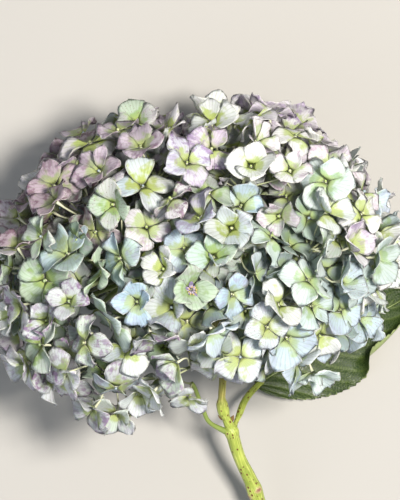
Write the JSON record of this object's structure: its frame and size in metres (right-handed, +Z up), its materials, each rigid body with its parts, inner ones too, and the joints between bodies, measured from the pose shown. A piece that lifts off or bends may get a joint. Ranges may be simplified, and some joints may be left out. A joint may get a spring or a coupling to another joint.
{
  "type": "cut mophead hydrangea",
  "caption": "Cut mophead hydrangea lying down: a broad ball of four-sepalled florets on branching rays, a short speckled stem and one leaf.",
  "frame": {"origin": "on the surface it lies on, under the middle of its bounding box", "axes": "+Z up from the surface, +Y from the cut end of the stem towards the crown of the head, +X to the leaf's side"},
  "size_m": [0.245, 0.2764, 0.1855],
  "materials": {
    "sepal": "soft matt petals, green at the base to white, lilac and pale blue, finely veined",
    "flower_bud": "small waxy buds in the middle of the florets",
    "ray": "smooth pale green pedicels and rays",
    "stem": "satin yellow-green bark with brown specks",
    "leaf": "satin dark green blade, paler below, raised veins",
    "bud": "satin reddish brown bud scales"
  },
  "bodies": {
    "root": {"stem": "stem", "ray_1": "ray", "ray_2": "ray", "ray_3": "ray", "ray_4": "ray", "ray_5": "ray", "ray_6": "ray", "ray_7": "ray", "ray_8": "ray", "ray_9": "ray", "floret_cluster_01": "sepal", "floret_cluster_02": "sepal", "floret_cluster_03": "sepal", "floret_cluster_04": "sepal", "floret_cluster_05": "sepal", "floret_cluster_06": "sepal", "floret_cluster_07": "sepal", "floret_cluster_08": "sepal", "floret_cluster_09": "sepal", "floret_cluster_10": "sepal", "floret_cluster_11": "sepal", "floret_cluster_12": "sepal", "floret_cluster_13": "sepal", "floret_cluster_14": "sepal", "floret_cluster_15": "sepal", "floret_cluster_16": "sepal", "floret_cluster_17": "sepal", "floret_cluster_18": "sepal", "floret_cluster_19": "sepal", "floret_cluster_20": "sepal", "floret_cluster_21": "sepal", "floret_cluster_22": "sepal", "floret_cluster_23": "sepal", "floret_cluster_24": "sepal", "floret_cluster_25": "sepal", "floret_cluster_26": "sepal", "floret_cluster_27": "sepal", "floret_cluster_28": "sepal", "floret_cluster_29": "sepal", "floret_cluster_30": "sepal", "floret_cluster_31": "sepal", "floret_cluster_32": "sepal", "floret_cluster_33": "sepal", "floret_cluster_34": "sepal", "floret_cluster_35": "sepal", "floret_cluster_36": "sepal", "floret_cluster_37": "sepal", "floret_cluster_38": "sepal", "floret_cluster_39": "sepal", "floret_cluster_40": "sepal", "floret_cluster_41": "sepal", "floret_cluster_42": "sepal", "side_ray": "ray", "side_cluster": "sepal", "leaf": "leaf", "axillary_bud_left": "bud", "axillary_bud_right": "bud"}
  },
  "joints": []
}
